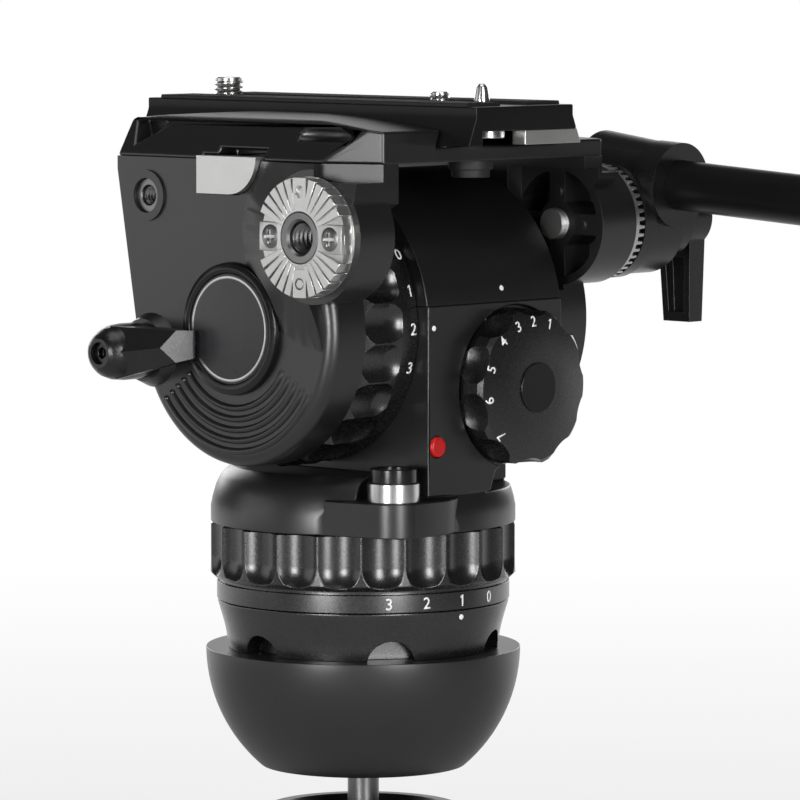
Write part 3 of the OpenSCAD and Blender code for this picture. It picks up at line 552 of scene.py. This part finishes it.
def plainSpot(bm, z, deep):
    # a plain block in the teeth with a round hole in its face
    top = -leftRosette["face"]
    root = leftRosette["back"] - leftRosette["face"] - spot["root"]
    part = bmesh.new()
    bmesh.ops.create_circle(part, cap_ends=False, segments=32, radius=spot["hole"])
    bmesh.ops.translate(part, verts=part.verts[:], vec=(0, 0, top - spot["proud"]))
    inner = part.edges[:]
    made = bmesh.ops.extrude_edge_only(part, edges=inner)["geom"]
    for v in vertsOf(made):
        reach = max(abs(v.co.x) / spot["wide"], abs(v.co.y) / spot["tall"])
        v.co.x, v.co.y = v.co.x / reach, v.co.y / reach
    outer = [e for e in made if isinstance(e, bmesh.types.BMEdge) and e.is_boundary]
    for edges, drop in ((inner, deep), (outer, root)):
        sunk = bmesh.ops.extrude_edge_only(part, edges=edges)["geom"]
        bmesh.ops.translate(part, verts=vertsOf(sunk), vec=(0, 0, -drop))
    capEnds(part)
    lay(bm, part, lambda u, v, out: millimetres(-out, rosY + u, rosZ + z + v))


bm = bmesh.new()
rosette(bm, leftRosette, -1, leftTooth)
# a dowel hole above the bore, and one with its pin below
plainSpot(bm, spot["at"], spot["openDeep"])
plainSpot(bm, -spot["at"], spot["pinnedDeep"])
pin = {"r": 1.55, "long": 2, "chamfer": 0.3, "end": -leftRosette["face"] - 0.1}
turned(bm, [(0, pin["end"] - pin["long"]), (pin["r"], pin["end"] - pin["long"]),
            (pin["r"], pin["end"] - pin["chamfer"]), (pin["r"] - pin["chamfer"], pin["end"]),
            (0, pin["end"])],
       millimetres(0, rosY, rosZ - spot["at"]), -xWay, yWay, steps=32, closed=False)
for y in (rosY - flats["at"], rosY + flats["at"]):
    part = bmesh.new()
    bmesh.ops.create_cube(part, size=1.0)
    bmesh.ops.scale(part, verts=part.verts[:], vec=flats["size"])
    roundEdges(part, flats["edge"], 2)
    lay(bm, part, lambda u, v, w, y=y: millimetres(flats["x"] + u, y + v, rosZ + w))
addPiece("leftRosetteTeeth", bm, "tilt", "bare_aluminium", stands=["left_rosette"])

crossHead = {"at": 12.6, "r": 3.8, "dome": 0.9, "skirt": 1.2, "slot": 0.6, "reach": 2.3,
             "deep": 0.9, "x": -67.75, "top": -0.5, "turns": (0.248, 0.752)}
crown = [(crossHead["r"] * k / 10, crossHead["dome"] * (1 - (k / 10) ** 2)) for k in range(11)]
skirt = [(crossHead["r"], -crossHead["skirt"]), (0, -crossHead["skirt"])]
bm = bmesh.new()
for side, turn in zip((-1, 1), crossHead["turns"]):
    part = bmesh.new()
    turned(part, crown + skirt, Vector(), zWay, xWay, steps=48, closed=False)
    bmesh.ops.rotate(part, verts=part.verts[:], cent=(0, 0, 0),
                     matrix=Matrix.Rotation(turn, 3, "Z"))
    sunk = [v for v in part.verts if v.co.z > crossHead["top"] * mm
            and min(abs(v.co.x), abs(v.co.y)) < crossHead["slot"] * mm
            and v.co.length < crossHead["reach"] * mm]
    bmesh.ops.translate(part, verts=sunk, vec=(0, 0, -crossHead["deep"] * mm))
    middle = millimetres(crossHead["x"], rosY + side * crossHead["at"], rosZ)
    lay(bm, part, lambda x, y, z, middle=middle: middle + Vector((-z, x, y)))
addPiece("leftRosetteScrewHeads", bm, "tilt", "steel", stands=["left_rosette_screws"])

rightRosette = {"back": 64.0, "face": 69.5, "rIn": 5.2, "rOut": 18.4, "teeth": 44, "deep": 1.3,
                "fill": 0.55, "taper": 0.7, "tall": 2.7, "step": 1.2}
bm = bmesh.new()
rosette(bm, rightRosette, 1, lambda a: True)
addPiece("rightRosetteTeeth", bm, "tilt", "bare_aluminium", stands=["right_rosette"])

# grey collar round the bore

collar = {"bore": 5.0, "rim": 8.1, "back": -62.6, "face": -68.05, "funnelDeep": 0.9,
          "funnelWide": 0.7, "dish": 0.1, "edgeDeep": 0.4, "edgeWide": 0.5}
bm = bmesh.new()
turned(bm, [(collar["bore"], collar["back"]),
            (collar["bore"], collar["face"] + collar["funnelDeep"]),
            (collar["bore"] + collar["funnelWide"], collar["face"] + collar["dish"]),
            (collar["rim"] - collar["edgeWide"], collar["face"]),
            (collar["rim"], collar["face"] + collar["edgeDeep"]),
            (collar["rim"], collar["back"])], millimetres(0, rosY, rosZ), xWay, yWay, steps=72)
addPiece("rosetteCollar", bm, "tilt", "steel")

# threads seen inside the two open holes

holes = {"rosetteThread": {"y": rosY, "z": rosZ, "r": 4.88, "pitch": 1.9, "depth": 1.1,
                           "from": -66.8, "to": -50.0},
         "insertThread": {"y": 38.4, "z": 143.9, "r": 3.055, "pitch": 1.27, "depth": 0.6,
                          "from": -56.0, "to": -46.6}}
threadWall = 0.1
for name, h in holes.items():
    bm = bmesh.new()
    threaded(bm, h["r"], h["pitch"], h["from"], h["to"], h["depth"],
             millimetres(0, h["y"], h["z"]), xWay, yWay, wall=threadWall)
    addPiece(name, bm, "tilt", "steel")

# pan bar bolt with its threaded end

bolt = {"from": 44.8, "to": 53.0, "neck": 74.8, "end": 111.2, "r": 5.0, "thin": 4.0, "pitch": 1.5,
        "depth": 0.85, "overlap": 0.1, "chamfer": 0.4}
bm = bmesh.new()
axle = millimetres(0, rosY, rosZ)
threaded(bm, bolt["r"], bolt["pitch"], bolt["from"], bolt["to"] + bolt["overlap"], bolt["depth"],
         axle, xWay, yWay)
turned(bm, [(0, bolt["to"]), (bolt["r"], bolt["to"]), (bolt["r"], bolt["neck"]),
            (bolt["thin"], bolt["neck"]), (bolt["thin"], bolt["end"] - bolt["chamfer"]),
            (bolt["thin"] - bolt["chamfer"], bolt["end"]), (0, bolt["end"])],
       axle, xWay, yWay, steps=48, closed=False)
addPiece("barBoltThread", bm, "bar_lock", "bare_aluminium", stands=["bar_bolt"])

# blank badge: a gently domed disc with a bright rim line

badge = {"r": 17.05, "back": -57.5, "edge": -59.35, "dome": 0.55}
bm = bmesh.new()
crown = [(badge["r"] * k / 8, badge["edge"] - badge["dome"] * (1 - (k / 8) ** 2))
         for k in range(9)]
turned(bm, crown + [(badge["r"], badge["back"]), (0, badge["back"])], millimetres(0, 0, tiltZ),
       xWay, yWay, steps=72, closed=False)
addPiece("badgeFace", bm, "tilt", "badge", stands=["badge_disc"])

rimLine = {"inside": 15.6, "outside": 16.4, "from": -59.42, "shoulder": -59.5, "to": -59.56,
           "slope": 0.2}
bm = bmesh.new()
inside, outside = rimLine["inside"], rimLine["outside"]
turned(bm, [(inside, rimLine["from"]), (outside, rimLine["from"]),
            (outside, rimLine["shoulder"]), (outside - rimLine["slope"], rimLine["to"]),
            (inside + rimLine["slope"], rimLine["to"]), (inside, rimLine["shoulder"])],
       millimetres(0, 0, tiltZ), xWay, yWay, steps=96)
addPiece("badgeRim", bm, "tilt", "bright_steel")
print("rosettes, threads and badge placed")


# rubber: ribbed plate strips and the pan bar grip

# each rib is given by shares of its width and of the groove's depth
strips = {"inner": 6.0, "outer": 21.0, "rear": -64.7, "front": 70.3, "low": 173.0, "high": 174.1,
          "ribs": 10, "groove": 0.35, "rib": [(0.1, 1), (0.25, 0), (0.75, 0), (0.9, 1)]}
wide, high = (strips["outer"] - strips["inner"]) / strips["ribs"], strips["high"] - strips["low"]
section = [(strips["inner"], 0.0)]
for i in range(strips["ribs"]):
    section += [(strips["inner"] + i * wide + along * wide, high - down * strips["groove"])
                for along, down in strips["rib"]]
section.append((strips["outer"], 0.0))
bm = bmesh.new()
for sign in (-1, 1):
    part = bmesh.new()
    part.faces.new([part.verts.new((x, z, 0)) for x, z in section])
    thicken(part, strips["rear"], strips["front"])
    lay(bm, part, lambda x, y, z, sign=sign: millimetres(sign * x, z, strips["low"] + y))
addPiece("plateStrips", bm, "plate", "rubber", stands=["plate_pads"], smooth=False)

# near, cut and far are steps in (radius, along) from the grip's start, each groove and its end
grip = {"from": 240.0, "to": 360.0, "r": 13.0, "bore": 8.1, "pitch": 4.0, "plain": 8,
        "plainEnd": 10,
        "near": [(-2.0, 0), (-0.6, 0.8), (0, 2.2), (0, 7)],
        "cut": [(0, 0), (-0.7, 0.5), (-0.7, 1.2), (0, 1.7)],
        "far": [(0, -2), (-0.6, -0.6), (-1.4, 0)],
        "x": 85.0, "z": 146.6, "slope": math.radians(3.5)}


def gripSteps(steps, at):
    return [(grip["r"] + out, at + along) for out, along in steps]


barWay = Vector((0, -math.cos(grip["slope"]), -math.sin(grip["slope"])))
profile = [(grip["bore"], grip["from"])] + gripSteps(grip["near"], grip["from"])
at = grip["from"] + grip["plain"]
while at < grip["to"] - grip["plainEnd"]:
    profile += gripSteps(grip["cut"], at)
    at += grip["pitch"]
profile += gripSteps(grip["far"], grip["to"]) + [(grip["bore"], grip["to"])]
bm = bmesh.new()
turned(bm, profile, millimetres(grip["x"], rosY, grip["z"]), barWay, xWay, steps=48)
addPiece("ribbedGrip", bm, "handle", "rubber", stands=["bar_grip"])
print("rubber placed")


# camera, floor and light

eye = Vector((-1248.84, -1216.88, 227.09)) * mm
look = Vector((0.71827, 0.69054, -0.08511))
camData = bpy.data.cameras.new("photoCamera")
camData.lens = 248.13
camData.sensor_width = 36
camData.clip_start = 0.05
camData.clip_end = 40
cam = bpy.data.objects.new("photoCamera", camData)
cam.location = eye
cam.rotation_euler = look.to_track_quat("-Z", "Y").to_euler()
scene.collection.objects.link(cam)
scene.camera = cam

# distances in metres, and seen is the camera's share of white near the object
ground = {"half": 9, "z": -0.101, "grey": "d6d6d6", "fade": (0.1, 1.1), "seen": 0.72,
          "behind": (0.1, 0.5)}
floorMesh = bpy.data.meshes.new("floor")
bm = bmesh.new()
bmesh.ops.create_grid(bm, x_segments=1, y_segments=1, size=ground["half"])
bm.to_mesh(floorMesh)
bm.free()
floor = bpy.data.objects.new("floor", floorMesh)
floor.location.z = ground["z"]
scene.collection.objects.link(floor)
mat, tree = newMaterial("pale_studio_floor")
path = addNode(tree, "ShaderNodeLightPath")
pale = addNode(tree, "ShaderNodeBsdfDiffuse", {"Color": linear(ground["grey"])})
bright = addNode(tree, "ShaderNodeEmission", {"Color": (1, 1, 1, 1), "Strength": 1.0})
# near the object the camera sees the lit floor with its shadow, which fades to white farther out
where = addNode(tree, "ShaderNodeTexCoord").outputs["Object"]
away = addNode(tree, "ShaderNodeVectorMath", {0: where}, operation="LENGTH")
fade = addNode(tree, "ShaderNodeMapRange", {
    "Value": away.outputs["Value"], "From Min": ground["fade"][0], "From Max": ground["fade"][1],
    "To Min": ground["seen"], "To Max": 1.0})
seen = addNode(tree, "ShaderNodeMath", {0: path.outputs["Is Camera Ray"],
                                        1: fade.outputs["Result"]}, operation="MULTIPLY")
# metal and glass see it white behind the object, and as it is lit in front
depth = addNode(tree, "ShaderNodeVectorMath", {0: where, 1: (look.x, look.y, 0)},
                operation="DOT_PRODUCT")
behind = addNode(tree, "ShaderNodeMapRange", {
    "Value": depth.outputs["Value"], "From Min": ground["behind"][0],
    "From Max": ground["behind"][1]})
either = addNode(tree, "ShaderNodeMath", {0: path.outputs["Is Glossy Ray"],
                                          1: path.outputs["Is Transmission Ray"]},
                 operation="MAXIMUM")
mirrored = addNode(tree, "ShaderNodeMath", {0: either.outputs[0], 1: behind.outputs["Result"]},
                   operation="MULTIPLY")
share = addNode(tree, "ShaderNodeMath", {0: seen.outputs[0], 1: mirrored.outputs[0]},
                operation="MAXIMUM")
both = addNode(tree, "ShaderNodeMixShader", {0: share.outputs[0], 1: pale.outputs["BSDF"],
                                             2: bright.outputs["Emission"]})
addNode(tree, "ShaderNodeOutputMaterial", {"Surface": both.outputs["Shader"]})
floorMesh.materials.append(mat)

# behind is the cosine to the camera's level view where the backdrop begins and is full
room = {"dim": 0.06, "behind": (0.84, 0.95)}
world = bpy.data.worlds.new("studio")
scene.world = world
world.use_nodes = True
tree = world.node_tree
tree.nodes.clear()
path = addNode(tree, "ShaderNodeLightPath")
# metal sees the white backdrop behind the object, and a dim room elsewhere
way = addNode(tree, "ShaderNodeTexCoord").outputs["Generated"]
facing = addNode(tree, "ShaderNodeVectorMath", {0: way, 1: (look.x, look.y, 0)},
                 operation="DOT_PRODUCT")
behind = addNode(tree, "ShaderNodeMapRange", {
    "Value": facing.outputs["Value"], "From Min": room["behind"][0],
    "From Max": room["behind"][1]})
mirrored = addNode(tree, "ShaderNodeMath", {0: path.outputs["Is Glossy Ray"],
                                            1: behind.outputs["Result"]}, operation="MULTIPLY")
clear = addNode(tree, "ShaderNodeMath", {0: path.outputs["Is Camera Ray"],
                                         1: path.outputs["Is Transmission Ray"]},
                operation="MAXIMUM")
share = addNode(tree, "ShaderNodeMath", {0: mirrored.outputs[0], 1: clear.outputs[0]},
                operation="MAXIMUM")
dim = addNode(tree, "ShaderNodeBackground", {"Color": (1, 1, 1, 1), "Strength": room["dim"]})
white = addNode(tree, "ShaderNodeBackground", {"Color": (1, 1, 1, 1), "Strength": 1.0})
mixed = addNode(tree, "ShaderNodeMixShader", {0: share.outputs[0], 1: dim.outputs["Background"],
                                              2: white.outputs["Background"]})
addNode(tree, "ShaderNodeOutputWorld", {"Surface": mixed.outputs["Shader"]})

# turn is degrees round the object from the camera to its right, lift is degrees above the middle
softboxes = {"frontLeft": {"turn": -30, "lift": 1, "size": (0.5, 0.7), "watts": 18},
             "frontRight": {"turn": 25, "lift": 8, "size": (0.5, 1.0), "watts": 21},
             "left": {"turn": -88, "lift": 0, "size": (1.3, 1.3), "watts": 5},
             "top": {"turn": 0, "lift": 78, "size": (1.4, 1.4), "watts": 10},
             "backLeft": {"turn": -155, "lift": 15, "size": (0.8, 0.8), "watts": 6},
             "backRight": {"turn": 155, "lift": 15, "size": (0.8, 0.8), "watts": 6}}
lampReach = 1.8
middle = Vector((0, 0, 0.1))
for name, s in softboxes.items():
    t = math.atan2(eye.y, eye.x) + math.radians(s["turn"])
    e = math.radians(s["lift"])
    toLamp = Vector((math.cos(e) * math.cos(t), math.cos(e) * math.sin(t), math.sin(e)))
    data = bpy.data.lights.new(name, "AREA")
    data.shape = "RECTANGLE"
    data.size, data.size_y = s["size"]
    data.energy = s["watts"]
    lamp = bpy.data.objects.new(name, data)
    lamp.location = middle + toLamp * lampReach
    lamp.rotation_euler = (-toLamp).to_track_quat("-Z", "Y").to_euler()
    scene.collection.objects.link(lamp)
scene.view_settings.view_transform = "Standard"
print("stage lit")

print("scene ready")
